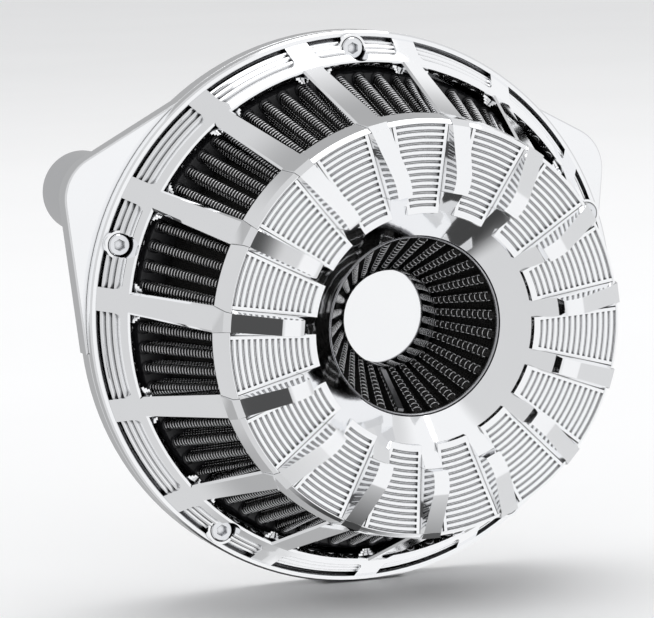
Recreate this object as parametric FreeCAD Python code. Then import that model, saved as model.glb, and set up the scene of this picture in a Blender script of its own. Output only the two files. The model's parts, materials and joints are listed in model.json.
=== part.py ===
"""Round air cleaner for a V-twin motorcycle: a skeleton cover over a pleated filter
with an inverted centre cone, on a backing plate with two breather stand-offs.

Every piece is drawn around the intake axis with +Z pointing at the rider's side (the
front), measured from the plate's rear face, and is turned at the end so that the front
faces -Y and +Z is up. All sizes are in millimetres.
"""
import math
import os

import FreeCAD
import Part

Vec = FreeCAD.Vector
AXIS = Vec(0, 0, 1)
ORIGIN = Vec(0, 0, 0)

# ---- layout around the axis
SPOKES = 15
PITCH = 360.0 / SPOKES
FIRST_SPOKE = 90.0 + PITCH / 2
COVER_SCREWS = 5

# ---- backing plate
PLATE_R = 108.0
PLATE_T = 9.0
EDGE_BREAK = 0.6
LOBE_R = 17.5
LOBE_LEFT = (-96.9, 48.2)
LOBE_RIGHT = (90.5, 48.2)
LOBE_UPPER_SLOPE = 28.5
LOBE_SIDE_LEAN = 6.0
BORE_R = 27.0
REGISTER_R = 78.2
REGISTER_WALL = 1.8
REGISTER_H = 4.0

# ---- throttle body joint
STUD_CIRCLE_R = 35.0
STUD_COUNT = 3
STUD_R = 3.0
STUD_WAIST_R = 2.7
STUD_HEAD_R = 5.2
STUD_HEAD_H = 3.4
STUD_REACH = 12.0
GASKET_T = 1.2
GASKET_R = 42.0

# ---- breather stand-offs
TUBE_R = 15.9
TUBE_LEN = 30.0
BREATHER_R = 6.0
BREATHER_DEPTH = 6.3
BREATHER_REACH = 14.0
BREATHER_BORE_R = 2.5
BREATHER_WAIST_R = 5.0
PASSAGE_R = 2.2
WASHER_T = 1.2

# ---- cover base ring
SEAT_GAP = 0.3
LIP_Z = 14.7
LIP_R = 106.0
RING_INNER_R = 95.0
BROW_R = 97.5
BROW_Z = 29.05
FOOT_HALF = 4.6
POCKET_IN_R = 99.4
POCKET_DEPTH = 2.4
RIB_COUNT = 4
BOSS_R = 5.5
BOSS_TOP = 18.4
SCREW_CIRCLE_R = 101.4
SCREW_HEAD_R = 4.25
SCREW_HEAD_H = 5.0
SCREW_HEAD_TOP = 19.1
SCREW_SHANK_R = 2.5
SCREW_TIP_Z = 1.5
HEX_SOCKET_R = 2.3

# ---- cover side spokes and rim
SPOKE_FOOT_HALF = 4.2
SPOKE_HEAD_HALF = 4.97
SPOKE_DEPTH = 6.4
SPOKE_BEVEL = 0.8
RIM_R = 80.2
RIM_Z = 79.5
RIM_INNER_R = 73.8
CORNER_R = 78.6
CORNER_Z = 88.4
PAD_PROUD = 0.6

# ---- cover front: panels, bars and funnel
PANEL_OUT_R = 76.8
PANEL_IN_R = 43.5
PANEL_Z = 90.35
PANEL_T = 4.0
PANEL_OUT_HALF = 4.96
PANEL_IN_HALF = 3.13
GROOVES = 14
GROOVE_DEPTH = 0.9
GROOVE_LAND = 1.3
BAR_TOP_OUT_HALF = 3.45
BAR_TOP_IN_HALF = 2.87
BAR_START_Z = 90.9
BAR_SLOPE_R = 61.0
BAR_CREST_R = 55.4
BAR_CREST_Z = 102.4
BAR_END_R = 51.8
BAR_END_Z = 101.1
FUNNEL_IN_R = 34.2
FUNNEL_IN_Z = 79.0
FUNNEL_OUT_Z = 94.85

# ---- filter element
PLEATS = 72
PLEAT_FOOT_Z = 24.0
PLEAT_HEAD_Z = 79.0
PLEAT_FOOT_R = 91.8
PLEAT_HEAD_R = 73.0
PLEAT_DEPTH = 11.0
MEDIA_T = 1.6
BASE_SEAL_OUT_R = 94.0
BASE_SEAL_IN_R = 78.5
CONE_PLEATS = 28
CONE_HEAD_R = 32.9
CONE_HEAD_Z = 76.6
CONE_FOOT_R = 17.6
CONE_FOOT_Z = 46.0
CONE_DEPTH = 4.6
CAP_R = 18.8
CAP_BACK_R = 16.8
CAP_LIP_Z = 50.4
CAP_EDGE_Z = 51.3
CAP_RISE = 2.2
CAP_THREAD = 4.2
SEAM_ANGLE = 259.7
SEAM_T = 1.0
SEAM_HALF = 1.1


def ring(points):
    """Solid of revolution about the axis from a closed (radius, height) outline."""
    corners = [Vec(r, 0, z) for r, z in points]
    face = Part.Face(Part.makePolygon(corners + corners[:1]))
    return face.revolve(ORIGIN, AXIS, 360)


def tube(r_out, r_in, z_low, z_high):
    return ring([(r_in, z_low), (r_out, z_low), (r_out, z_high), (r_in, z_high)])


def rod(radius, z_low, z_high, x=0.0, y=0.0):
    return Part.makeCylinder(radius, z_high - z_low, Vec(x, y, z_low))


def spun(shape, angle):
    copy = shape.copy()
    copy.rotate(ORIGIN, AXIS, angle)
    return copy


def around(shape, angles):
    """The same solid repeated at several angles about the axis."""
    return Part.Compound([spun(shape, angle) for angle in angles])


def slab(corners, z_low, z_high):
    """Upright prism from (x, y) corners."""
    points = [Vec(x, y, z_low) for x, y in corners]
    face = Part.Face(Part.makePolygon(points + points[:1]))
    return face.extrude(Vec(0, 0, z_high - z_low))


def loft(sections):
    """Solid through closed sections, each a list of 3-D corners."""
    wires = [Part.makePolygon([Vec(*p) for p in pts] + [Vec(*pts[0])]) for pts in sections]
    return Part.makeLoft(wires, True, True)


def spoke_angles():
    return [FIRST_SPOKE + PITCH * k for k in range(SPOKES)]


def panel_angles():
    return [FIRST_SPOKE + PITCH * (k + 0.5) for k in range(SPOKES)]


def screw_angles():
    return [90.0 + 360.0 / COVER_SCREWS * k for k in range(COVER_SCREWS)]


def stud_angles():
    return [90.0 + 360.0 / STUD_COUNT * k for k in range(STUD_COUNT)]


def polar(radius, angle):
    a = math.radians(angle)
    return radius * math.cos(a), radius * math.sin(a)


def sector_corner(radius, half, side):
    """Corner of the field between two spokes, for a field centred on angle 0."""
    a = math.radians(PITCH / 2)
    return (radius * math.cos(a) + half * math.sin(a),
            side * (radius * math.sin(a) - half * math.cos(a)))


def field(r_in, half_in, r_out, half_out):
    """(x, y) outline of the field between two spokes, centred on angle 0."""
    return [sector_corner(r_in, half_in, -1), sector_corner(r_out, half_out, -1),
            sector_corner(r_out, half_out, 1), sector_corner(r_in, half_in, 1)]


def gap_half(radius):
    """Half the space between two panels, measured square to the spoke."""
    share = (radius - PANEL_IN_R) / (PANEL_OUT_R - PANEL_IN_R)
    return PANEL_IN_HALF + share * (PANEL_OUT_HALF - PANEL_IN_HALF)


def panel_field(border=0.0):
    """Outline between two bars, run past the panel at both ends, less a border."""
    r_in, r_out = PANEL_IN_R - 6, PANEL_OUT_R + 3
    return field(r_in, gap_half(r_in) + border, r_out, gap_half(r_out) + border)


# ---------------------------------------------------------------- backing plate
def lobe_outline(centre, side):
    """Ear that runs from the round plate to a rounded corner over a stand-off."""
    cx, cy = centre
    upper = math.radians(90 - LOBE_UPPER_SLOPE)
    lower = math.radians(-LOBE_SIDE_LEAN)
    top = (cx + side * LOBE_R * math.cos(upper), cy + LOBE_R * math.sin(upper))
    low = (cx + side * LOBE_R * math.cos(lower), cy + LOBE_R * math.sin(lower))
    run_up = 45.0
    run_down = 58.0
    top_end = (top[0] - side * run_up * math.sin(upper), top[1] + run_up * math.cos(upper))
    low_end = (low[0] + side * run_down * math.sin(lower), low[1] - run_down * math.cos(lower))
    middle = (upper + lower) / 2
    crown = (cx + side * LOBE_R * math.cos(middle), cy + LOBE_R * math.sin(middle))
    hub = (side * 40.0, 20.0)
    edges = [
        Part.LineSegment(Vec(*hub, 0), Vec(*low_end, 0)).toShape(),
        Part.LineSegment(Vec(*low_end, 0), Vec(*low, 0)).toShape(),
        Part.Arc(Vec(*low, 0), Vec(*crown, 0), Vec(*top, 0)).toShape(),
        Part.LineSegment(Vec(*top, 0), Vec(*top_end, 0)).toShape(),
        Part.LineSegment(Vec(*top_end, 0), Vec(*hub, 0)).toShape(),
    ]
    return Part.Face(Part.Wire(edges))


def backing_plate():
    body = rod(PLATE_R, 0, PLATE_T)
    for centre, side in ((LOBE_LEFT, -1), (LOBE_RIGHT, 1)):
        body = body.fuse(lobe_outline(centre, side).extrude(Vec(0, 0, PLATE_T)))
    body = body.removeSplitter()
    front = [f for f in body.Faces if abs(f.CenterOfMass.z - PLATE_T) < 1e-6][0]
    body = body.makeChamfer(EDGE_BREAK, front.OuterWire.Edges)
    body = body.fuse(tube(REGISTER_R, REGISTER_R - REGISTER_WALL, PLATE_T - 1, PLATE_T + REGISTER_H))
    holes = [rod(BORE_R, -1, PLATE_T + 1)]
    for angle in stud_angles():
        x, y = polar(STUD_CIRCLE_R, angle)
        holes.append(rod(STUD_R + 0.3, -1, PLATE_T + 1, x, y))
        holes.append(rod(STUD_HEAD_R + 0.3, PLATE_T - STUD_HEAD_H, PLATE_T + 1, x, y))
    for angle in screw_angles():
        x, y = polar(SCREW_CIRCLE_R, angle)
        holes.append(rod(SCREW_SHANK_R + 0.05, 0.8, PLATE_T + 1, x, y))
    for x, y in (LOBE_LEFT, LOBE_RIGHT):
        holes.append(rod(BREATHER_R + 0.02, -1, BREATHER_DEPTH + 0.3, x, y))
        holes.append(breather_passage(x, y))
    return body.cut(Part.Compound(holes)).removeSplitter()


def breather_passage(x, y):
    """Drilling inside the plate from a breather hole to an outlet under the filter."""
    distance = math.hypot(x, y)
    outlet_r = REGISTER_R - REGISTER_WALL - 12.0
    toward = Vec(-x / distance, -y / distance, 0)
    depth = BREATHER_DEPTH / 2 + 1.0
    cross = Part.makeCylinder(PASSAGE_R, distance - outlet_r, Vec(x, y, depth), toward)
    riser = rod(PASSAGE_R, depth, PLATE_T + 1, x * outlet_r / distance, y * outlet_r / distance)
    return cross.fuse(riser)


def intake_gasket():
    body = tube(GASKET_R, BORE_R + 0.5, -GASKET_T, 0)
    holes = [rod(STUD_R + 0.3, -GASKET_T - 1, 1, *polar(STUD_CIRCLE_R, a)) for a in stud_angles()]
    return body.cut(Part.Compound(holes))


def throttle_body_screws():
    """Screws of the throttle body joint, waisted where they pass through the plate."""
    head_z = PLATE_T - STUD_HEAD_H
    screw = rod(STUD_R, -GASKET_T - STUD_REACH, -GASKET_T)
    screw = screw.fuse(rod(STUD_WAIST_R, -GASKET_T, head_z))
    screw = screw.fuse(rod(STUD_HEAD_R, head_z, PLATE_T - 0.2))
    screw = screw.cut(hex_prism(HEX_SOCKET_R, PLATE_T - 2.4, PLATE_T + 1))
    placed = []
    for angle in stud_angles():
        copy = screw.copy()
        copy.translate(Vec(*polar(STUD_CIRCLE_R, angle), 0))
        placed.append(copy)
    return Part.Compound(placed)


def hex_prism(corner_r, z_low, z_high):
    corners = [polar(corner_r, 30.0 + 60.0 * k) for k in range(6)]
    return slab(corners, z_low, z_high)


# ---------------------------------------------------------------- breather stand-offs
def standoff(x, y):
    body = ring([(BREATHER_R + 0.4, -TUBE_LEN), (TUBE_R - 1.0, -TUBE_LEN), (TUBE_R, -TUBE_LEN + 1.0),
                 (TUBE_R, 0), (BREATHER_R + 0.4, 0)])
    body = body.cut(tube(11.2, 8.8, -1.7, 1))
    body.translate(Vec(x, y, 0))
    return body


def standoff_seal(x, y):
    body = Part.makeTorus(10.0, 0.8, Vec(0, 0, -0.85), AXIS)
    body.translate(Vec(x, y, 0))
    return body


def breather_stud(x, y):
    """Hollow waisted stud: threaded into the plate in front, into the head behind."""
    tail = -TUBE_LEN - WASHER_T - BREATHER_REACH
    body = ring([(BREATHER_BORE_R, tail), (BREATHER_R - 0.8, tail), (BREATHER_R, tail + 0.8),
                 (BREATHER_R, -TUBE_LEN - WASHER_T), (BREATHER_WAIST_R, -TUBE_LEN - WASHER_T),
                 (BREATHER_WAIST_R, 0), (BREATHER_R, 0), (BREATHER_R, BREATHER_DEPTH),
                 (BREATHER_BORE_R, BREATHER_DEPTH)])
    port = Part.makeCylinder(PASSAGE_R, 2 * BREATHER_R + 2,
                             Vec(-BREATHER_R - 1, 0, BREATHER_DEPTH / 2 + 1), Vec(1, 0, 0))
    port.rotate(ORIGIN, AXIS, math.degrees(math.atan2(y, x)))
    body = body.cut(port)
    body.translate(Vec(x, y, 0))
    return body


def head_washer(x, y):
    body = tube(11.5, BREATHER_R + 0.4, -TUBE_LEN - WASHER_T, -TUBE_LEN)
    body.translate(Vec(x, y, 0))
    return body


# ---------------------------------------------------------------- cover
def cover_base_ring():
    low = PLATE_T + SEAT_GAP
    body = ring([(RING_INNER_R, low), (PLATE_R, low), (PLATE_R, LIP_Z - 0.7),
                 (PLATE_R - 0.7, LIP_Z), (LIP_R, LIP_Z), (BROW_R, BROW_Z),
                 (BROW_R - 1.0, BROW_Z), (RING_INNER_R, BROW_Z - 1.7)])
    body = body.cut(around(pocket_tool(), panel_angles()))
    bosses = [rod(BOSS_R, LIP_Z - 2.0, BOSS_TOP, *polar(SCREW_CIRCLE_R, a)) for a in screw_angles()]
    for boss in bosses:
        body = body.fuse(boss)
    seat_z = SCREW_HEAD_TOP - SCREW_HEAD_H
    cuts = [tube(98.4, 96.2, low - 1, low + 1.7)]
    for angle in screw_angles():
        x, y = polar(SCREW_CIRCLE_R, angle)
        cuts.append(rod(SCREW_SHANK_R + 0.3, low - 1, seat_z + 1, x, y))
        cuts.append(rod(SCREW_HEAD_R + 0.3, seat_z, BROW_Z + 5, x, y))
    return body.cut(Part.Compound(cuts))


def pocket_tool():
    """Material removed between two spoke feet: a rounded field over a ribbed slope."""
    run = (BROW_R - LIP_R, BROW_Z - LIP_Z)
    length = math.hypot(*run)
    along = (run[0] / length, run[1] / length)
    out = (along[1], -along[0])

    def at(s, depth):
        return (LIP_R + along[0] * s - out[0] * depth, LIP_Z + along[1] * s - out[1] * depth)

    ribbed = (LIP_R - POCKET_IN_R) / -along[0]
    pitch = ribbed / RIB_COUNT
    floor = [at(-2.0, POCKET_DEPTH)]
    for k in range(RIB_COUNT):
        start = k * pitch
        floor.append(at(start + 0.22 * pitch, POCKET_DEPTH))
        floor.append(at(start + 0.42 * pitch, 0.45 * POCKET_DEPTH))
        floor.append(at(start + 0.80 * pitch, 0.45 * POCKET_DEPTH))
        floor.append(at(start + 1.0 * pitch, POCKET_DEPTH))
    floor.append(at(length, POCKET_DEPTH))
    above = ring(floor + [at(length, -8.0), at(-2.0, -8.0)])
    area = slab(field(POCKET_IN_R - 4, SPOKE_FOOT_HALF + 0.3, LIP_R + 4, FOOT_HALF), 0, BROW_Z + 10)
    area = area.common(tube(LIP_R - 0.2, POCKET_IN_R, 0, BROW_Z + 10))
    return rounded_at(area, POCKET_IN_R, 2.2).common(above)


def rounded_at(prism, radius, fillet):
    """An upright prism with its vertical edges rounded where they lie near a radius."""
    chosen = []
    for edge in prism.Edges:
        a, b = edge.Vertexes[0].Point, edge.Vertexes[-1].Point
        upright = math.hypot(a.x - b.x, a.y - b.y) < 1e-6 and abs(a.z - b.z) > 1e-3
        if upright and abs(math.hypot(a.x, a.y) - radius) < 0.5:
            chosen.append(edge)
    return prism.makeFillet(fillet, chosen)


def spoke_section(radius, z, half, depth):
    shoulder = radius - SPOKE_BEVEL
    flat = half - SPOKE_BEVEL
    return [(radius - depth, -half, z), (shoulder, -half, z), (radius, -flat, z),
            (radius, flat, z), (shoulder, half, z), (radius - depth, half, z)]


def spoke():
    """One side spoke, standing on the ring's brow at angle 0 and lapping the rim."""
    leg = loft([spoke_section(BROW_R, BROW_Z, SPOKE_FOOT_HALF, SPOKE_DEPTH),
                spoke_section(RIM_R, RIM_Z, SPOKE_HEAD_HALF, SPOKE_DEPTH)])
    return leg.fuse(rim_pad())


def rim_pad():
    """Flat strap that carries the spoke's face over the rim's corner."""
    inner = PANEL_OUT_R - 1.0
    outline = [(RIM_R, RIM_Z), (CORNER_R + PAD_PROUD, CORNER_Z + 0.5), (PANEL_OUT_R, BAR_START_Z),
               (inner, BAR_START_Z), (inner, PANEL_Z - 2.0), (RIM_R - 2.4, RIM_Z)]
    face = Part.Face(Part.makePolygon([Vec(r, -9, z) for r, z in outline + outline[:1]]))
    strap = face.extrude(Vec(0, 18, 0))
    taper = loft([[(70, -SPOKE_HEAD_HALF, RIM_Z), (90, -SPOKE_HEAD_HALF, RIM_Z),
                   (90, SPOKE_HEAD_HALF, RIM_Z), (70, SPOKE_HEAD_HALF, RIM_Z)],
                  [(70, -BAR_TOP_OUT_HALF, BAR_START_Z + 0.2), (90, -BAR_TOP_OUT_HALF, BAR_START_Z + 0.2),
                   (90, BAR_TOP_OUT_HALF, BAR_START_Z + 0.2), (70, BAR_TOP_OUT_HALF, BAR_START_Z + 0.2)]])
    return strap.common(taper).cut(rod(PANEL_OUT_R, RIM_Z - 5, BAR_START_Z + 5))


def cover_spokes():
    return around(spoke(), spoke_angles())


def cover_rim():
    ledge_z = PANEL_Z - PANEL_T
    body = ring([(RIM_R, RIM_Z), (CORNER_R, CORNER_Z), (PANEL_OUT_R + 0.4, PANEL_Z),
                 (PANEL_OUT_R, PANEL_Z), (PANEL_OUT_R, ledge_z), (RIM_INNER_R, ledge_z),
                 (RIM_INNER_R, RIM_Z)])
    return body.cut(around(rim_pad(), spoke_angles()))


def panel():
    """One ribbed front panel, centred on angle 0."""
    body = slab(panel_field(), PANEL_Z - PANEL_T, PANEL_Z)
    body = body.common(tube(PANEL_OUT_R, PANEL_IN_R, PANEL_Z - PANEL_T, PANEL_Z))
    pitch = (PANEL_OUT_R - PANEL_IN_R - GROOVE_LAND) / GROOVES
    grooves = []
    for k in range(GROOVES):
        middle = PANEL_OUT_R - 0.5 - pitch * k
        width = 0.32 * pitch
        grooves.append(ring([(middle - width, PANEL_Z + 0.1), (middle - 0.1, PANEL_Z - GROOVE_DEPTH),
                             (middle + 0.1, PANEL_Z - GROOVE_DEPTH), (middle + width, PANEL_Z + 0.1)]))
    inside = slab(panel_field(GROOVE_LAND), PANEL_Z - 2, PANEL_Z + 2)
    return body.cut(Part.Compound(grooves).common(inside))


def cover_panels():
    return around(panel(), panel_angles())


def bar_section(radius, top):
    share = (radius - BAR_END_R) / (PANEL_OUT_R - BAR_END_R)
    crown = BAR_TOP_IN_HALF + share * (BAR_TOP_OUT_HALF - BAR_TOP_IN_HALF)
    low = PANEL_Z - PANEL_T
    wide = gap_half(radius)
    return [(radius, -wide, low), (radius, wide, low), (radius, wide, PANEL_Z - 0.4),
            (radius, crown, top), (radius, -crown, top), (radius, -wide, PANEL_Z - 0.4)]


def bar():
    """Arched bar between two panels: a straight rise, then an arc over the crest."""
    rise = (BAR_CREST_Z - BAR_START_Z - 1.3) / (PANEL_OUT_R - BAR_SLOPE_R)
    knee_z = BAR_START_Z + rise * (PANEL_OUT_R - BAR_SLOPE_R)
    stations = [(PANEL_OUT_R, BAR_START_Z), (BAR_SLOPE_R, knee_z)]
    arc = Part.Arc(Vec(BAR_SLOPE_R, 0, knee_z), Vec(BAR_CREST_R, 0, BAR_CREST_Z),
                   Vec(BAR_END_R, 0, BAR_END_Z))
    steps = 6
    for k in range(1, steps + 1):
        share = k / steps
        point = arc.value(arc.FirstParameter + share * (arc.LastParameter - arc.FirstParameter))
        stations.append((point.x, point.z))
    body = loft([bar_section(r, z) for r, z in stations])
    return body.common(rod(PANEL_OUT_R, 0, BAR_CREST_Z + 5))


def cover_bars():
    return around(bar(), spoke_angles())


def cover_funnel():
    """Conical centre ring whose webs fill the gaps between the panels."""
    back = PANEL_Z - PANEL_T - 1.35
    body = ring([(FUNNEL_IN_R, FUNNEL_IN_Z), (BAR_END_R, FUNNEL_OUT_Z), (BAR_END_R, back),
                 (42.0, back), (35.4, 78.4), (FUNNEL_IN_R, 78.4)])
    low, high = PANEL_Z - PANEL_T, PANEL_Z + 20
    panel_space = slab(panel_field(), low, high).common(tube(PANEL_OUT_R, PANEL_IN_R, low, high))
    return body.cut(around(panel_space, panel_angles()))


def cover_seal():
    return Part.makeTorus(97.3, 0.9, Vec(0, 0, PLATE_T + 1.0), AXIS)


def cover_screws():
    head_low = SCREW_HEAD_TOP - SCREW_HEAD_H
    screw = ring([(0, SCREW_TIP_Z), (SCREW_SHANK_R, SCREW_TIP_Z), (SCREW_SHANK_R, head_low),
                  (SCREW_HEAD_R, head_low), (SCREW_HEAD_R, SCREW_HEAD_TOP - 0.5),
                  (SCREW_HEAD_R - 0.5, SCREW_HEAD_TOP), (0, SCREW_HEAD_TOP)])
    screw = screw.cut(hex_prism(HEX_SOCKET_R, SCREW_HEAD_TOP - 2.6, SCREW_HEAD_TOP + 1))
    placed = []
    for angle in screw_angles():
        copy = screw.copy()
        copy.translate(Vec(*polar(SCREW_CIRCLE_R, angle), 0))
        placed.append(copy)
    return Part.Compound(placed)


# ---------------------------------------------------------------- filter element
def star(crest, valley, z, count):
    """Zigzag ring of corners: crests at one radius, valleys at another."""
    corners = []
    for k in range(2 * count):
        radius = crest if k % 2 == 0 else valley
        x, y = polar(radius, 180.0 * k / count)
        corners.append(Vec(x, y, z))
    return corners


def flat_face(*corners):
    return Part.Face(Part.makePolygon(list(corners) + [corners[0]]))


def pleated(outer_low, outer_high, inner_low, inner_high):
    """Thin closed pleated wall between an outer and an inner zigzag."""
    count = len(outer_low)
    faces = []
    for low, high in ((outer_low, outer_high), (inner_low, inner_high)):
        for k in range(count):
            after = (k + 1) % count
            faces.append(flat_face(low[k], low[after], high[after], high[k]))
    for outer, inner in ((outer_low, inner_low), (outer_high, inner_high)):
        for k in range(count):
            after = (k + 1) % count
            faces.append(flat_face(outer[k], outer[after], inner[after], inner[k]))
    solid = Part.Solid(Part.Shell(faces))
    if solid.Volume < 0:
        solid.reverse()
    return solid


def outer_pleats():
    foot_in = PLEAT_FOOT_R - PLEAT_DEPTH
    head_scale = PLEAT_HEAD_R / PLEAT_FOOT_R
    inner_crest = PLEAT_FOOT_R - MEDIA_T * 1.6
    inner_valley = foot_in - MEDIA_T
    low_out = star(PLEAT_FOOT_R, foot_in, PLEAT_FOOT_Z, PLEATS)
    high_out = star(PLEAT_HEAD_R, foot_in * head_scale, PLEAT_HEAD_Z, PLEATS)
    low_in = star(inner_crest, inner_valley, PLEAT_FOOT_Z, PLEATS)
    high_in = star(inner_crest * head_scale, inner_valley * head_scale, PLEAT_HEAD_Z, PLEATS)
    return pleated(low_out, high_out, low_in, high_in)


def inner_cone_pleats():
    scale = CONE_FOOT_R / CONE_HEAD_R
    crest, valley = CONE_HEAD_R, CONE_HEAD_R + CONE_DEPTH
    back_crest, back_valley = crest + MEDIA_T * 1.4, valley + MEDIA_T * 0.9
    high_in = star(crest, valley, CONE_HEAD_Z, CONE_PLEATS)
    low_in = star(crest * scale, valley * scale, CONE_FOOT_Z, CONE_PLEATS)
    high_out = star(back_crest, back_valley, CONE_HEAD_Z, CONE_PLEATS)
    low_out = star(back_crest * scale, back_valley * scale, CONE_FOOT_Z, CONE_PLEATS)
    return spun(pleated(low_out, high_out, low_in, high_in), SEAM_ANGLE)


def filter_base_seal():
    low = PLATE_T + 0.1
    return ring([(BASE_SEAL_IN_R, low), (BASE_SEAL_OUT_R, low), (BASE_SEAL_OUT_R, 21.0), (93.2, 23.0),
                 (92.0, PLEAT_FOOT_Z), (BASE_SEAL_IN_R, PLEAT_FOOT_Z)])


def filter_top_cap():
    top = 84.6
    return ring([(33.2, CONE_HEAD_Z), (33.2, 77.7), (35.0, 77.7), (41.9, top), (71.8, top), (73.3, 83.0),
                 (73.3, PLEAT_HEAD_Z), (44.0, PLEAT_HEAD_Z), (41.6, CONE_HEAD_Z)])


def cone_rim_ring():
    return ring([(33.2, 77.7), (34.0, 77.7), (34.0, 78.6), (33.6, 79.0), (33.2, 78.6)])


def cone_seam_clip():
    """Folded metal strip that closes the cone's media along one pleat's crest."""
    lean = (CONE_HEAD_R - CONE_FOOT_R) / (CONE_HEAD_Z - CONE_FOOT_Z)
    sections = []
    for z in (CAP_EDGE_Z + 0.7, CONE_HEAD_Z - 0.5):
        crest = CONE_FOOT_R + lean * (z - CONE_FOOT_Z)
        inner = crest - SEAM_T
        sections.append([(inner, -SEAM_HALF, z), (inner, SEAM_HALF, z),
                         (crest, SEAM_HALF, z), (crest, -SEAM_HALF, z)])
    return spun(loft(sections), SEAM_ANGLE)


def cone_end_disc():
    return ring([(3.2, 42.5), (20.5, 42.5), (20.5, CONE_FOOT_Z), (3.2, CONE_FOOT_Z)])


def centre_cap():
    """Plain cap with a gently domed face and a lip over the pleat feet, threaded for its stud."""
    steps = 8
    dome = []
    for k in range(steps + 1):
        share = 1 - k / steps
        dome.append((CAP_R * share, CAP_EDGE_Z + CAP_RISE * (1 - share ** 2)))
    back = [(0, CONE_FOOT_Z), (CAP_BACK_R, CONE_FOOT_Z), (CAP_BACK_R, CAP_LIP_Z), (CAP_R, CAP_LIP_Z)]
    body = ring(back + dome)
    return body.cut(rod(STUD_R + 0.02, CONE_FOOT_Z - 1, CONE_FOOT_Z + CAP_THREAD))


def cap_stud():
    return rod(STUD_R, 36.0, CONE_FOOT_Z + CAP_THREAD - 0.2)


def cap_nut():
    return hex_prism(5.8, 37.5, 42.5).cut(rod(3.02, 30, 50))


# ---------------------------------------------------------------- assembly
def nodes():
    left, right = LOBE_LEFT, LOBE_RIGHT
    return {
        "backing_plate": backing_plate(),
        "intake_gasket": intake_gasket(),
        "throttle_body_screws": throttle_body_screws(),
        "standoff_left": standoff(*left),
        "standoff_right": standoff(*right),
        "standoff_seal_left": standoff_seal(*left),
        "standoff_seal_right": standoff_seal(*right),
        "breather_stud_left": breather_stud(*left),
        "breather_stud_right": breather_stud(*right),
        "head_washer_left": head_washer(*left),
        "head_washer_right": head_washer(*right),
        "cover_base_ring": cover_base_ring(),
        "cover_spokes": cover_spokes(),
        "cover_rim": cover_rim(),
        "cover_panels": cover_panels(),
        "cover_bars": cover_bars(),
        "cover_funnel": cover_funnel(),
        "cover_seal": cover_seal(),
        "cover_screws": cover_screws(),
        "filter_base_seal": filter_base_seal(),
        "outer_pleats": outer_pleats(),
        "filter_top_cap": filter_top_cap(),
        "inner_cone_pleats": inner_cone_pleats(),
        "cone_rim_ring": cone_rim_ring(),
        "cone_seam_clip": cone_seam_clip(),
        "cone_end_disc": cone_end_disc(),
        "centre_cap": centre_cap(),
        "cap_stud": cap_stud(),
        "cap_nut": cap_nut(),
    }


def main():
    os.makedirs("parts", exist_ok=True)
    for name, shape in nodes().items():
        shape.rotate(ORIGIN, Vec(1, 0, 0), 90)
        shape.exportStep(f"parts/{name}.step")
        box = shape.BoundBox
        spans = [f"{low:.1f}..{high:.1f}" for low, high in
                 ((box.XMin, box.XMax), (box.YMin, box.YMax), (box.ZMin, box.ZMax))]
        print(f"{name}: {len(shape.Solids)} solids, valid {shape.isValid()}, "
              f"{shape.Volume:.0f} mm3, {' '.join(spans)}")


main()
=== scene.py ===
"""Looks of the round air cleaner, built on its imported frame.

Lengths are in metres. The intake axis is the Y axis and the front faces -Y, so a place on
a round piece is given by its radius and by its height in front of the plate's rear face.
"""
import json
import math
from collections import namedtuple

import bmesh
import bpy
from mathutils import Matrix, Vector


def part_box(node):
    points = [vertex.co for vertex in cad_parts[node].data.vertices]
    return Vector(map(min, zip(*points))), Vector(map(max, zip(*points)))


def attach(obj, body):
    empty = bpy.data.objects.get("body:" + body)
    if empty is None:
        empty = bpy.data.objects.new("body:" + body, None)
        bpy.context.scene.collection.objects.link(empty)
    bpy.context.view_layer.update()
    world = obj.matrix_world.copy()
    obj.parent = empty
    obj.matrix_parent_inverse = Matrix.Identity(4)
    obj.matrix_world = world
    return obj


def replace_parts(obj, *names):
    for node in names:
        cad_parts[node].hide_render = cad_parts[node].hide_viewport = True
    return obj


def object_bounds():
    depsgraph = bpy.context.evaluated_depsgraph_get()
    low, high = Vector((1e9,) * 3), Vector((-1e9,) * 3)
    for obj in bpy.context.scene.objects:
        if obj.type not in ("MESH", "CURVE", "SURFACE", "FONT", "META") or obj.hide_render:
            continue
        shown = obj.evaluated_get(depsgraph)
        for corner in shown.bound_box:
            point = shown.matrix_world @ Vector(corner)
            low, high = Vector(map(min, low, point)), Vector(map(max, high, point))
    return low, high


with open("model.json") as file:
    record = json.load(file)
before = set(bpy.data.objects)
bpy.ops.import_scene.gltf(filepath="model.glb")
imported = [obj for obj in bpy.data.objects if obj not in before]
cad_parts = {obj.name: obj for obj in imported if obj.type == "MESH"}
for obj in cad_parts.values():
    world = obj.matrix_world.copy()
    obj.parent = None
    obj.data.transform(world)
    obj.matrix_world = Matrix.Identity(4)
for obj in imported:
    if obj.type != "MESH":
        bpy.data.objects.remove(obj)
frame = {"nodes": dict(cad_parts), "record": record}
NODES = frame["nodes"]
cad_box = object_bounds()

MM = 0.001
FRONT = Vector((0, -1, 0))

# ---- camera
CAMERA_AZIMUTH = -19.36
CAMERA_ELEVATION = 7.17
CAMERA_ROLL = -1.776
CAMERA_DISTANCE = 1.559
CAMERA_LENS = 220.2
CAMERA_AIM = (-0.01097, -0.01086, -0.0001)

# ---- cover layout
SPOKES = 15
SPOKE_PITCH = 360.0 / SPOKES
FIRST_SPOKE = 90.0 + SPOKE_PITCH / 2
SPOKE_HALF = 4.2 * MM
BROW_R = 97.5 * MM
# change of radius per height along the spokes
SPOKE_RISE = (80.2 - 97.5) / (79.5 - 29.05)
CLAW_T = 0.9 * MM
# each plate's reach and its distance inside the brow's edge, from the outermost to the innermost
CLAW_STEPS = ((3.2 * MM, 2.2 * MM), (2.4 * MM, 3.1 * MM), (1.6 * MM, 4.0 * MM))

# ---- painted shade in chrome recesses: reach of the occlusion darkening
RECESS_SHADE_REACH = 2.4 * MM

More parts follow.
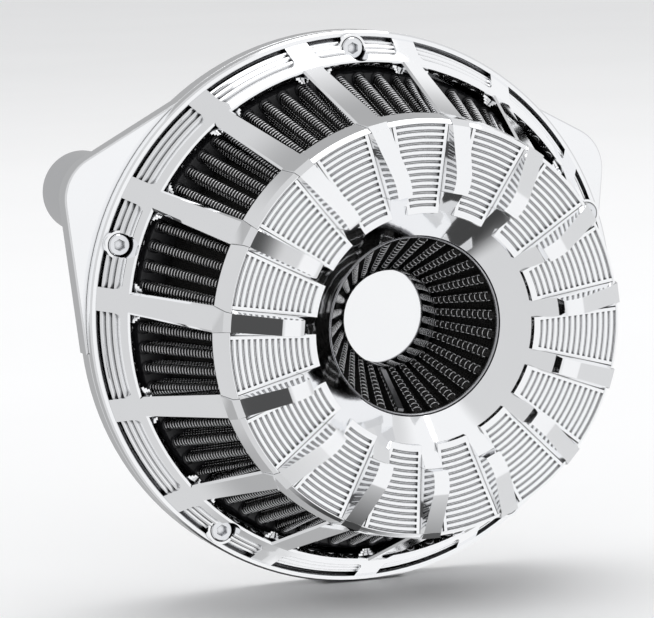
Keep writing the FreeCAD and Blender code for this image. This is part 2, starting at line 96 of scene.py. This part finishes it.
# ---- filter element
OUTER_PLEATS = 72
OUTER_HEAD_R = 73.0 * MM
CONE_PLEATS = 28
CONE_FOOT_R = 17.6 * MM
CONE_HEAD_R = 32.9 * MM
SEAM_ANGLE = 259.7
COLLAR_SHARE = 0.012
COLLAR_GAP = 0.55 * MM
COLLAR_DEPTH = 5.5 * MM
COLLAR_R = 0.75 * MM
WIRE_R = 0.25 * MM
THREAD_R = 0.2 * MM
WIRE_STEP = 1.85 * MM
LADDER_STEP = 2.7 * MM
LADDER_R = 0.21 * MM
LADDER_SWEEP = 60.0
WIRE_BOW = 0.7 * MM

Pleats = namedtuple("Pleats", "count start foot head outward half depth shrink")
Thread = namedtuple("Thread", "depth hand angle length rise shift")
Knit = namedtuple("Knit", "step wire thread bow sweep reach threads")


def low(node, axis):
    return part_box(node)[0][axis]


def high(node, axis):
    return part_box(node)[1][axis]


def front_of(node):
    return -low(node, 1)


def back_of(node):
    return -high(node, 1)


# ---------------------------------------------------------------- node helpers
class Shading:
    """A material's node tree with short calls for the nodes used here."""

    def __init__(self, name):
        self.material = bpy.data.materials.new(name)
        self.material.use_nodes = True
        self.tree = self.material.node_tree
        self.shader = self.tree.nodes["Principled BSDF"]
        self.place = self.tree.nodes.new("ShaderNodeTexCoord").outputs["Object"]

    def node(self, kind, inputs=(), **settings):
        n = self.tree.nodes.new(kind)
        for key, value in settings.items():
            setattr(n, key, value)
        for key, value in dict(inputs).items():
            if isinstance(value, bpy.types.NodeSocket):
                self.tree.links.new(value, n.inputs[key])
            else:
                n.inputs[key].default_value = value
        return n

    def math(self, operation, a, b=0.0):
        return self.node("ShaderNodeMath", {0: a, 1: b}, operation=operation).outputs[0]

    def noise(self, scale, detail=3.0, roughness=0.5, place=None):
        return self.node("ShaderNodeTexNoise", {"Vector": place or self.place, "Scale": scale,
                                                "Detail": detail, "Roughness": roughness}).outputs["Fac"]

    def spread(self, value, from_low, from_high, to_low, to_high):
        return self.node("ShaderNodeMapRange", {"Value": value, "From Min": from_low, "From Max": from_high,
                                                "To Min": to_low, "To Max": to_high}).outputs["Result"]

    def blend(self, factor, a, b):
        n = self.node("ShaderNodeMix", data_type="RGBA")
        self.tree.links.new(factor, n.inputs[0])
        n.inputs[6].default_value = (*a, 1)
        n.inputs[7].default_value = (*b, 1)
        return n.outputs[2]

    def layer(self, factor, under, over):
        return self.node("ShaderNodeMix", {0: factor, 6: under, 7: over}, data_type="RGBA").outputs[2]

    def painted_recess_shade(self):
        """0 in tight grooves and corners, where shade is painted into the colour, rising to 1 in the open.
        """
        # ambient occlusion drives painted shade: the plating's colour darkens where surfaces crowd together
        n = self.node("ShaderNodeAmbientOcclusion", {"Distance": RECESS_SHADE_REACH}, samples=8)
        return self.spread(n.outputs["AO"], 0.32, 0.64, 0.0, 1.0)

    def polar(self):
        """(angle about the intake axis, height in front) as sockets."""
        x, y, z = self.node("ShaderNodeSeparateXYZ", {0: self.place}).outputs
        return self.math("ARCTAN2", z, x), y

    def bump(self, height, strength, distance):
        n = self.node("ShaderNodeBump", {"Height": height, "Strength": strength, "Distance": distance})
        self.tree.links.new(n.outputs[0], self.shader.inputs["Normal"])

    def set(self, **values):
        for key, value in values.items():
            socket = self.shader.inputs[key.replace("_", " ")]
            if isinstance(value, bpy.types.NodeSocket):
                self.tree.links.new(value, socket)
            else:
                socket.default_value = value


# ---------------------------------------------------------------- materials
def chrome(name, tint, rough_low, rough_high):
    """Polished plating: near-mirror, faintly wavy, with a few duller patches and painted shade in grooves
    and corners.
    """
    s = Shading(name)
    patches = s.noise(38.0, 4.0)
    wipes = s.noise(900.0, 2.0, place=stretched(s, (1, 0.06, 1)))
    mixed = s.math("ADD", s.math("MULTIPLY", patches, 0.7), s.math("MULTIPLY", wipes, 0.3))
    plated = s.blend(patches, tuple(0.96 * c for c in tint), tint)
    # the near-black colour is painted shade, laid into grooves and corners by the occlusion mask
    s.set(Metallic=1.0, Base_Color=s.layer(s.painted_recess_shade(), (0.035, 0.036, 0.04, 1), plated),
          Roughness=s.spread(mixed, 0.35, 0.65, rough_low, rough_high))
    s.bump(s.noise(55.0, 1.0), 0.04, 0.0006)
    return s.material


def stretched(s, scale):
    return s.node("ShaderNodeMapping", {"Vector": s.place, "Scale": scale}).outputs[0]


def machined_steel(name, tint, roughness):
    """Turned steel: fine rings round the intake axis direction and dull patches."""
    s = Shading(name)
    lines = s.noise(2600.0, 2.0, place=stretched(s, (0.08, 1, 0.08)))
    patches = s.noise(160.0, 4.0)
    darker = tuple(0.72 * c for c in tint)
    s.set(Metallic=1.0, Base_Color=s.blend(patches, darker, tint),
          Roughness=s.spread(patches, 0.3, 0.7, roughness - 0.08, roughness + 0.1))
    s.bump(lines, 0.25, 0.00008)
    return s.material


def wire_steel():
    s = Shading("wire_mesh")
    patches = s.noise(420.0, 3.0)
    s.set(Metallic=0.95, Base_Color=s.blend(patches, (0.6, 0.6, 0.61), (0.93, 0.93, 0.94)),
          Roughness=s.spread(patches, 0.3, 0.7, 0.2, 0.36))
    s.bump(s.noise(2400.0, 2.0), 0.1, 0.00004)
    return s.material


def gauze(name, threads_round):
    """Black woven gauze: threads along and round the pleats, with lint and depth."""
    s = Shading(name)
    angle, height = s.polar()
    across = s.math("SINE", s.math("MULTIPLY", angle, threads_round))
    along = s.math("SINE", s.math("MULTIPLY", height, 2 * math.pi / 0.0011))
    weave = s.math("MAXIMUM", across, along)
    lint = s.noise(700.0, 4.0)
    threads = s.spread(weave, -0.6, 1.0, 0.0, 1.0)
    s.set(Base_Color=s.blend(threads, (0.004, 0.004, 0.004), (0.028, 0.027, 0.026)),
          Roughness=s.spread(lint, 0.3, 0.7, 0.7, 0.95), Specular_IOR_Level=0.3)
    s.bump(s.math("ADD", weave, lint), 0.6, 0.0003)
    return s.material


def moulded_rubber(name, tint, roughness, grain=1400.0):
    """Moulded urethane or rubber: fine grain, faint blooms and handling marks."""
    s = Shading(name)
    bloom = s.noise(46.0, 5.0, 0.6)
    fine = s.noise(grain, 3.0)
    lighter = tuple(c * 1.7 + 0.004 for c in tint)
    s.set(Base_Color=s.blend(s.spread(bloom, 0.35, 0.75, 0.0, 1.0), tint, lighter),
          Roughness=s.spread(s.math("ADD", bloom, fine), 0.7, 1.3, roughness - 0.08, roughness + 0.12),
          Specular_IOR_Level=0.45)
    s.bump(s.math("ADD", fine, s.math("MULTIPLY", bloom, 0.5)), 0.3, 0.00015)
    return s.material


def pressed_fibre():
    s = Shading("gasket_fibre")
    flecks = s.noise(1100.0, 5.0, 0.7)
    fibres = s.spread(flecks, 0.35, 0.65, 0.0, 1.0)
    s.set(Base_Color=s.blend(fibres, (0.045, 0.043, 0.04), (0.12, 0.115, 0.105)),
          Roughness=0.85)
    s.bump(flecks, 0.5, 0.0002)
    return s.material


def satin_aluminium():
    s = Shading("washer_aluminium")
    lines = s.noise(1800.0, 2.0)
    s.set(Metallic=1.0, Base_Color=s.blend(lines, (0.66, 0.66, 0.67), (0.82, 0.82, 0.83)),
          Roughness=s.spread(lines, 0.3, 0.7, 0.3, 0.45))
    s.bump(lines, 0.15, 0.00006)
    return s.material


def floor_paint():
    s = Shading("floor")
    marks = s.noise(3.0, 4.0)
    s.set(Base_Color=s.blend(marks, (0.9, 0.9, 0.9), (0.94, 0.94, 0.94)), Roughness=0.9)
    return s.material


MATERIALS = {
    "chrome_plate": chrome("chrome_plate", (0.955, 0.96, 0.97), 0.03, 0.055),
    "chrome_standoff": chrome("chrome_standoff", (0.9, 0.905, 0.92), 0.08, 0.13),
    "chrome_cover": chrome("chrome_cover", (0.955, 0.96, 0.97), 0.025, 0.05),
    "chrome_cap": chrome("chrome_cap", (0.96, 0.965, 0.97), 0.03, 0.05),
    "screw_steel": chrome("screw_steel", (0.82, 0.83, 0.85), 0.06, 0.12),
    "plain_steel": machined_steel("plain_steel", (0.6, 0.61, 0.63), 0.32),
    "stud_steel": machined_steel("stud_steel", (0.5, 0.5, 0.52), 0.35),
    "clip_steel": machined_steel("clip_steel", (0.3, 0.3, 0.31), 0.4),
    "rim_steel": machined_steel("rim_steel", (0.6, 0.6, 0.62), 0.25),
    "washer_aluminium": satin_aluminium(),
    "gasket_fibre": pressed_fibre(),
    "seal_rubber": moulded_rubber("seal_rubber", (0.018, 0.018, 0.018), 0.6),
    "filter_rubber": moulded_rubber("filter_rubber", (0.016, 0.016, 0.018), 0.42),
    "filter_urethane": moulded_rubber("filter_urethane", (0.014, 0.014, 0.015), 0.38),
    "filter_media": gauze("filter_media", 640.0),
    "cone_media": gauze("cone_media", 200.0),
    "wire_mesh": wire_steel(),
}


# ---------------------------------------------------------------- mesh helpers
def place(radius, height, angle):
    """Point at a radius and height, at an angle in degrees from +X towards +Z."""
    a = math.radians(angle)
    return Vector((radius * math.cos(a), -height, radius * math.sin(a)))


def outward(angle):
    a = math.radians(angle)
    return Vector((math.cos(a), 0, math.sin(a)))


def around(angle):
    a = math.radians(angle)
    return Vector((-math.sin(a), 0, math.cos(a)))


def piece(name, mesh, body, material, smooth_angle=None):
    """Object from a mesh, riding on a body, shaded smooth up to an angle."""
    mesh.materials.clear()
    mesh.materials.append(MATERIALS[material])
    obj = bpy.data.objects.new(name, mesh)
    bpy.context.scene.collection.objects.link(obj)
    mesh.shade_smooth()
    if smooth_angle is not None:
        mesh.set_sharp_from_angle(angle=math.radians(smooth_angle))
    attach(obj, body)
    return obj


def mesh_of(name, verts, faces):
    mesh = bpy.data.meshes.new(name)
    mesh.from_pydata(verts, [], faces)
    mesh.update()
    return mesh


def rounded_path(corners, radius, steps=5):
    """Closed (radius, height) outline with each corner turned on an arc."""
    count = len(corners)
    path = []
    for k, corner in enumerate(corners):
        here = Vector(corner)
        before, after = Vector(corners[k - 1]) - here, Vector(corners[(k + 1) % count]) - here
        reach = min(radius, 0.45 * before.length, 0.45 * after.length)
        start, end = here + before.normalized() * reach, here + after.normalized() * reach
        for i in range(steps + 1):
            t = i / steps
            path.append(start * (1 - t) ** 2 + here * 2 * t * (1 - t) + end * t * t)
    return path


def lathe(name, corners, radius, segments=240):
    """Turned piece from a closed outline, with its corners rounded."""
    path = rounded_path(corners, radius)
    count = len(path)
    verts = []
    for k in range(segments):
        verts += [place(r, h, 360.0 * k / segments) for r, h in path]
    faces = []
    for k in range(segments):
        a, b = k * count, (k + 1) % segments * count
        for i in range(count):
            j = (i + 1) % count
            faces.append((a + i, a + j, b + j, b + i))
    mesh = mesh_of(name, verts, faces)
    outward_faces(mesh)
    return mesh


def outward_faces(mesh):
    bm = bmesh.new()
    bm.from_mesh(mesh)
    bmesh.ops.recalc_face_normals(bm, faces=bm.faces)
    bm.to_mesh(mesh)
    bm.free()


def tubes(name, paths, radius, sides):
    """Round wires along open paths. Each path comes with a direction off its plane."""
    verts, faces = [], []
    turns = [(math.cos(2 * math.pi * k / sides), math.sin(2 * math.pi * k / sides)) for k in range(sides)]
    for points, across in paths:
        base = len(verts)
        last = len(points) - 1
        for i, p in enumerate(points):
            run = (points[min(i + 1, last)] - points[max(i - 1, 0)]).normalized()
            u = (across - run * across.dot(run)).normalized()
            v = run.cross(u)
            verts += [p + (u * c + v * s) * radius for c, s in turns]
        for i in range(last):
            a, b = base + i * sides, base + (i + 1) * sides
            for k in range(sides):
                j = (k + 1) % sides
                faces.append((a + k, a + j, b + j, b + k))
        faces.append(tuple(base + k for k in reversed(range(sides))))
        faces.append(tuple(base + last * sides + k for k in range(sides)))
    return mesh_of(name, verts, faces)


# ---------------------------------------------------------------- polished metal
def polished(node, body, slot, width, steps=2):
    """The CAD node's shape with its edges eased, as plating leaves them."""
    mesh = NODES[node].data.copy()
    mesh.name = node + "_eased"
    bm = bmesh.new()
    bm.from_mesh(mesh)
    bmesh.ops.remove_doubles(bm, verts=bm.verts, dist=2e-6)
    bmesh.ops.dissolve_limit(bm, angle_limit=math.radians(0.4), verts=bm.verts, edges=bm.edges)
    bm.to_mesh(mesh)
    bm.free()
    if "custom_normal" in mesh.attributes:
        mesh.attributes.remove(mesh.attributes["custom_normal"])
    obj = piece(node + "_polished", mesh, body, slot, smooth_angle=24)
    ease = obj.modifiers.new("ease", "BEVEL")
    ease.width = width
    ease.segments = steps
    ease.limit_method = "ANGLE"
    ease.angle_limit = math.radians(24)
    ease.harden_normals = True
    ease.use_clamp_overlap = True
    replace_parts(obj, node)
    return obj


def metal_pieces():
    polished("backing_plate", "backing", "chrome_plate", 0.35 * MM)
    for side in ("left", "right"):
        polished("standoff_" + side, "backing", "chrome_standoff", 0.4 * MM)
    polished("cover_base_ring", "cover", "chrome_cover", 0.3 * MM)
    polished("cover_spokes", "cover", "chrome_cover", 0.25 * MM)
    polished("cover_rim", "cover", "chrome_cover", 0.15 * MM)
    polished("cover_panels", "cover", "chrome_cover", 0.12 * MM, steps=1)
    polished("cover_bars", "cover", "chrome_cover", 0.3 * MM)
    polished("cover_funnel", "cover", "chrome_cover", 0.2 * MM)
    polished("cover_screws", "screws", "screw_steel", 0.2 * MM)


def centre_cap():
    """Gently domed cap with a thin lip over the pleat feet, turned in one."""
    radius, edge, rise = high("centre_cap", 0), 0.5 * MM, 2.2 * MM
    foot, crown = back_of("centre_cap"), front_of("centre_cap")
    neck, lip = radius - 2.6 * MM, foot + 4.4 * MM
    path = [(0.0, foot), (neck, foot), (neck, lip), (radius, lip)]
    rim_h = crown - rise - edge
    for k in range(7):
        a = math.radians(80) * k / 6
        path.append((radius - edge * (1 - math.cos(a)), rim_h + edge * math.sin(a)))
    inner_r, inner_h = path[-1]
    steps = 22
    for k in range(1, steps + 1):
        share = 1 - k / steps
        path.append((inner_r * share, inner_h + (crown - inner_h) * (1 - share ** 2)))
    segments = 160
    verts = [place(r, h, 360.0 * k / segments) for k in range(segments) for r, h in path]
    count = len(path)
    faces = []
    for k in range(segments):
        a, b = k * count, (k + 1) % segments * count
        faces += [(a + i, a + i + 1, b + i + 1, b + i) for i in range(count - 1)]
    mesh = mesh_of("centre_cap_dome", verts, faces)
    bm = bmesh.new()
    bm.from_mesh(mesh)
    bmesh.ops.remove_doubles(bm, verts=bm.verts, dist=1e-6)
    bmesh.ops.recalc_face_normals(bm, faces=bm.faces)
    bm.to_mesh(mesh)
    bm.free()
    obj = piece("centre_cap_dome", mesh, "filter", "chrome_cap", smooth_angle=40)
    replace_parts(obj, "centre_cap")


def window_claws():
    """Small stepped fillets where each spoke leaves the ring."""
    brow_r, brow_h = BROW_R, front_of("cover_base_ring")
    verts, faces = [], []
    for k in range(SPOKES):
        for side in (-1, 1):
            angle = FIRST_SPOKE + SPOKE_PITCH * k
            out, along = outward(angle), around(angle) * side
            for reach, inset in CLAW_STEPS:
                add_claw(verts, faces, out, along, brow_r - inset, brow_h, reach)
    mesh = mesh_of("window_claws", verts, faces)
    outward_faces(mesh)
    piece("window_claws", mesh, "cover", "chrome_cover", smooth_angle=30)


def add_claw(verts, faces, out, along, radius, height, reach):
    """One concave fillet plate standing on the brow against a spoke's side."""
    steps = 5
    outline = [(-0.3 * MM, -0.8 * MM), (reach, -0.8 * MM), (reach, 0.0)]
    for k in range(1, steps):
        a = math.pi / 2 * k / steps
        outline.append((reach * (1 - math.sin(a)), reach * (1 - math.cos(a))))
    outline += [(0.0, reach), (-0.3 * MM, reach)]
    base = len(verts)
    count = len(outline)
    for depth in (0.0, CLAW_T):
        for x, h in outline:
            r = radius - depth + SPOKE_RISE * h
            verts.append(out * r + along * (SPOKE_HALF + x) + FRONT * (height + h))
    faces.append(tuple(base + i for i in range(count)))
    faces.append(tuple(base + count + i for i in reversed(range(count))))
    for i in range(count):
        j = (i + 1) % count
        faces.append((base + i, base + j, base + count + j, base + count + i))


# ---------------------------------------------------------------- filter element
def outer_spec():
    foot_r, foot_h = high("outer_pleats", 0), back_of("outer_pleats")
    head_r, head_h = OUTER_HEAD_R, front_of("outer_pleats")
    return Pleats(OUTER_PLEATS, 0.0, (foot_r, foot_h), (head_r, head_h), 1, 1.38 * MM, 10.5 * MM, 0.82)


def cone_spec():
    foot_h, head_h = back_of("inner_cone_pleats"), front_of("inner_cone_pleats")
    foot, head = (CONE_FOOT_R, foot_h), (CONE_HEAD_R, head_h)
    return Pleats(CONE_PLEATS, SEAM_ANGLE, foot, head, -1, 0.92 * MM, 4.0 * MM, 1.9)


def crest(spec, k, share):
    """Centre of a pleat's rounded crest, its outward and sideways directions and half width."""
    angle = spec.start + 360.0 / spec.count * k
    (r0, h0), (r1, h1) = spec.foot, spec.head
    out = outward(angle)
    run = (out * (r1 - r0) + FRONT * (h1 - h0)).normalized()
    side = around(angle)
    normal = run.cross(side)
    normal *= spec.outward * (1 if normal.dot(out) > 0 else -1)
    half = spec.half * (1 + (spec.shrink - 1) * share)
    top = place(r0 + (r1 - r0) * share, h0 + (h1 - h0) * share, angle)
    return top - normal * half, normal, side, run, half


def pleat_row(spec, share, turns=5):
    """One closed row of points round the element, through every crest and valley."""
    row = []
    depth = spec.depth * (1 + (spec.shrink - 1) * share)
    for k in range(spec.count):
        centre, normal, side, _, half = crest(spec, k, share)
        row.append(centre - side * half * 1.05 - normal * (depth - 2 * half))
        row.append(centre - side * half - normal * depth * 0.4)
        for i in range(turns + 1):
            a = math.pi * (i / turns - 0.5)
            row.append(centre + side * half * math.sin(a) + normal * half * math.cos(a))
        row.append(centre + side * half - normal * depth * 0.4)
        row.append(centre + side * half * 1.05 - normal * (depth - 2 * half))
    return row


def pleated_media(name, spec, node, material):
    rows = 10
    grid = [pleat_row(spec, i / rows) for i in range(rows + 1)]
    count = len(grid[0])
    verts = [p for row in grid for p in row]
    faces = []
    for i in range(rows):
        for k in range(count):
            j = (k + 1) % count
            faces.append((i * count + k, i * count + j, (i + 1) * count + j, (i + 1) * count + k))
    mesh = mesh_of(name, verts, faces)
    obj = piece(name, mesh, "filter", material, smooth_angle=60)
    wall = obj.modifiers.new("gauze", "SOLIDIFY")
    wall.thickness = 0.5 * MM
    wall.offset = -1.0 if spec.outward > 0 else 1.0
    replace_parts(obj, node)


def wire_hoop(spec, k, share, knit):
    """A wire over one crest and down both sides, bowed along the pleat."""
    centre, normal, side, run, half = crest(spec, k, share)
    lift = half + knit.wire
    points = [centre - side * lift - normal * d for d in knit.reach]
    turns = 6
    for i in range(turns + 1):
        a = math.radians(knit.sweep) * (2 * i / turns - 1)
        points.append(centre + side * lift * math.sin(a) + normal * lift * math.cos(a)
                      + run * knit.bow * math.cos(a) ** 2)
    points += [centre + side * lift - normal * d for d in reversed(knit.reach)]
    return points, run


def wire_mesh(name, spec, first, last, knit):
    """Knitted wire over a range of pleats: hoops across them and threads between the hoops."""
    (r0, h0), (r1, h1) = spec.foot, spec.head
    step = knit.step / math.hypot(r1 - r0, h1 - h0)
    hoops, stitches = [], []
    for k in range(first, last):
        share = 0.6 * step
        while share < 1 - 0.4 * step:
            hoops.append(wire_hoop(spec, k, share, knit))
            for thread in knit.threads:
                stitches.append(stitch(spec, k, share + thread.shift * step, thread, step))
            share += step
    wires = tubes(name, hoops, knit.wire, 4)
    lines = tubes(name + "_threads", stitches, knit.thread, 3)
    piece(name, joined_meshes(name, (wires, lines)), "filter", "wire_mesh")


def stitch(spec, k, share, thread, step):
    """A short arched thread along a pleat: on the crest by angle, or down a side by depth."""
    points = []
    for offset, proud in ((-0.5, 0.0), (0.0, 1.0), (0.5, 0.0)):
        centre, normal, side, _, half = crest(spec, k, min(1.0, share + offset * step * thread.length))
        lift = half + (0.4 + 0.6 * proud) * thread.rise
        if thread.depth is None:
            a = math.radians(thread.angle)
            points.append(centre + side * lift * math.sin(a) + normal * lift * math.cos(a))
        else:
            points.append(centre + side * lift * thread.hand - normal * thread.depth)
    return points, outward(spec.start + 360.0 / spec.count * k)


def joined_meshes(name, meshes):
    bm = bmesh.new()
    for mesh in meshes:
        bm.from_mesh(mesh)
        bpy.data.meshes.remove(mesh)
    mesh = bpy.data.meshes.new(name)
    bm.to_mesh(mesh)
    bm.free()
    return mesh


def pleat_collars(spec):
    """Moulded lips where each pleat comes out of the base."""
    paths = []
    for k in range(spec.count):
        centre, normal, side, run, half = crest(spec, k, COLLAR_SHARE)
        lift = half + COLLAR_GAP
        points = [centre - side * lift - normal * COLLAR_DEPTH]
        for i in range(9):
            a = math.pi * (i / 8 - 0.5)
            points.append(centre + side * lift * math.sin(a) + normal * lift * math.cos(a))
        points.append(centre + side * lift - normal * COLLAR_DEPTH)
        paths.append((points, run))
    collars = tubes("pleat_collars", paths, COLLAR_R, 8)
    piece("pleat_collars", collars, "filter", "filter_rubber")


def moulded_ends():
    base_out, base_in = high("filter_base_seal", 0), 78.5 * MM
    foot, top = back_of("filter_base_seal"), front_of("filter_base_seal")
    base = lathe("filter_base_moulding", [
        (base_in, foot), (base_out, foot), (base_out, top - 5.2 * MM), (base_out - 0.5 * MM, top - 4.6 * MM),
        (base_out - 0.5 * MM, top - 2.6 * MM), (base_out - 1.9 * MM, top), (base_in, top)], 0.6 * MM)
    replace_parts(piece("filter_base_moulding", base, "filter", "filter_rubber", 50),
                "filter_base_seal")
    cap_low, cap_top = back_of("filter_top_cap"), front_of("filter_top_cap")
    step = front_of("outer_pleats")
    cap = lathe("filter_top_moulding", [
        (33.2 * MM, cap_low), (33.2 * MM, cap_low + 1.1 * MM), (35.0 * MM, cap_low + 1.1 * MM),
        (41.9 * MM, cap_top), (71.8 * MM, cap_top), (73.3 * MM, cap_top - 1.6 * MM), (73.3 * MM, step),
        (44.0 * MM, step), (41.6 * MM, cap_low)], 0.5 * MM)
    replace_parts(piece("filter_top_moulding", cap, "filter", "filter_urethane", 50),
                "filter_top_cap")
    disc_low, disc_top = back_of("cone_end_disc"), front_of("cone_end_disc")
    disc_in, disc_out = 3.2 * MM, 20.5 * MM
    disc = lathe("cone_end_moulding", [
        (disc_in, disc_low), (disc_out, disc_low), (disc_out, disc_top), (disc_in, disc_top)], 0.4 * MM, 120)
    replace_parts(piece("cone_end_moulding", disc, "filter", "filter_urethane", 50),
                "cone_end_disc")


def filter_pieces():
    outer, cone = outer_spec(), cone_spec()
    pleated_media("outer_gauze", outer, "outer_pleats", "filter_media")
    pleated_media("cone_gauze", cone, "inner_cone_pleats", "cone_media")
    side_depths = (1.2 * MM,)
    sides = [Thread(depth * MM, hand, 0, 0.62, 0.32 * MM, 0.5)
             for depth in (2.2, 3.8, 5.4) for hand in (-1, 1)]
    outer_knit = Knit(WIRE_STEP, WIRE_R, THREAD_R, WIRE_BOW, 90.0, side_depths, sides)
    quarter = OUTER_PLEATS // 4
    for k in range(4):
        wire_mesh(f"outer_wire_{k + 1}", outer, k * quarter, (k + 1) * quarter, outer_knit)
    rails = [Thread(None, 1, angle, 0.72, 0.36 * MM, 0.0) for angle in (-LADDER_SWEEP, LADDER_SWEEP)]
    ladder = Knit(LADDER_STEP, LADDER_R, LADDER_R, 0.0, LADDER_SWEEP, (), rails)
    wire_mesh("cone_wire", cone, 0, CONE_PLEATS, ladder)
    pleat_collars(outer)
    moulded_ends()
    centre_cap()


# ---------------------------------------------------------------- studio
def plain_materials():
    """Materials of the CAD nodes that are shown as they are."""
    for entry in frame["record"]["subparts"]:
        data = NODES[entry["node"]].data
        data.materials.clear()
        data.materials.append(MATERIALS[entry["material_slot"]])


def floor():
    size = 14.0
    level = cad_box[0].z - 0.2 * MM
    corners = [(-size, -size, level), (size, -size, level), (size, size, level), (-size, size, level)]
    mesh = mesh_of("floor", corners, [(0, 1, 2, 3)])
    mesh.materials.append(floor_paint())
    obj = bpy.data.objects.new("floor", mesh)
    bpy.context.scene.collection.objects.link(obj)
    obj.visible_glossy = False


# azimuth and elevation of the middle, half width and half height in degrees, edge softness, brightness
STUDIO_PATCHES = (
    (180.0, 0.0, 26.0, 40.0, 0.35, 0.44),
    (-43.0, -2.0, 7.0, 28.0, 0.25, 0.08),
    (88.0, 0.0, 22.0, 60.0, 0.6, 0.74),
)
STUDIO_RIGHT = 0.97
STUDIO_LEFT = 0.70
STUDIO_GROUND = 0.06


def studio_world():
    """Soft surround: brighter on the right, with a few patches and a dark nadir."""
    world = bpy.data.worlds.new("studio")
    world.use_nodes = True
    bpy.context.scene.world = world
    tree = world.node_tree

    def op(operation, a, b=0.0):
        n = tree.nodes.new("ShaderNodeMath")
        n.operation = operation
        for socket, value in zip(n.inputs, (a, b)):
            if isinstance(value, bpy.types.NodeSocket):
                tree.links.new(value, socket)
            else:
                socket.default_value = value
        return n.outputs[0]

    def step(value, start, end):
        n = tree.nodes.new("ShaderNodeMapRange")
        n.interpolation_type = "SMOOTHSTEP"
        tree.links.new(value, n.inputs["Value"])
        n.inputs["From Min"].default_value = start
        n.inputs["From Max"].default_value = end
        return n.outputs["Result"]

    def mix(a, b, share):
        return op("ADD", op("MULTIPLY", a, op("SUBTRACT", 1.0, share)), op("MULTIPLY", b, share))

    split = tree.nodes.new("ShaderNodeSeparateXYZ")
    tree.links.new(tree.nodes.new("ShaderNodeTexCoord").outputs["Generated"], split.inputs[0])
    x, y, z = split.outputs
    azimuth = op("MULTIPLY", op("ARCTAN2", x, op("MULTIPLY", y, -1.0)), 180 / math.pi)
    elevation = op("MULTIPLY", op("ARCSINE", z), 180 / math.pi)
    level = op("ADD", op("MULTIPLY", step(azimuth, -38.0, -20.0), STUDIO_RIGHT - STUDIO_LEFT), STUDIO_LEFT)
    for a0, e0, wide, tall, soft, bright in STUDIO_PATCHES:
        off = op("ABSOLUTE", op("SUBTRACT", azimuth, a0))
        off = op("MINIMUM", off, op("SUBTRACT", 360.0, off))
        across = op("DIVIDE", off, wide)
        up = op("DIVIDE", op("SUBTRACT", elevation, e0), tall)
        far = op("SQRT", op("ADD", op("POWER", across, 2.0), op("MULTIPLY", up, up)))
        level = mix(level, bright, step(far, 1.0 + soft, 1.0))
    level = mix(STUDIO_GROUND, level, step(elevation, -72.0, -56.0))
    background = tree.nodes["Background"]
    background.inputs["Color"].default_value = (0.985, 0.99, 1.0, 1)
    tree.links.new(level, background.inputs["Strength"])


def softbox(name, azimuth, elevation, distance, size, power):
    light = bpy.data.lights.new(name, "AREA")
    light.size = size
    light.energy = power
    obj = bpy.data.objects.new(name, light)
    a, e = math.radians(azimuth), math.radians(elevation)
    back = Vector((math.sin(a) * math.cos(e), -math.cos(a) * math.cos(e), math.sin(e)))
    obj.location = back * distance
    obj.rotation_mode = "QUATERNION"
    obj.rotation_quaternion = (-back).to_track_quat("-Z", "Y")
    bpy.context.scene.collection.objects.link(obj)


def camera():
    data = bpy.data.cameras.new("camera")
    data.lens = CAMERA_LENS
    data.sensor_width = 36.0
    data.clip_end = 100.0
    obj = bpy.data.objects.new("camera", data)
    a, e = math.radians(CAMERA_AZIMUTH), math.radians(CAMERA_ELEVATION)
    back = Vector((math.sin(a) * math.cos(e), -math.cos(a) * math.cos(e), math.sin(e)))
    turn = (-back).to_track_quat("-Z", "Y").to_matrix().to_4x4()
    roll = Matrix.Rotation(math.radians(CAMERA_ROLL), 4, "Z")
    obj.matrix_world = Matrix.Translation(Vector(CAMERA_AIM) + back * CAMERA_DISTANCE) @ turn @ roll
    bpy.context.scene.collection.objects.link(obj)
    bpy.context.scene.camera = obj


def studio():
    floor()
    studio_world()
    softbox("top_light", 150.0, 75.0, 2.6, 2.4, 26.0)
    camera()
    bpy.context.scene.view_settings.view_transform = "Standard"


plain_materials()
metal_pieces()
window_claws()
filter_pieces()
studio()

bpy.context.view_layer.update()
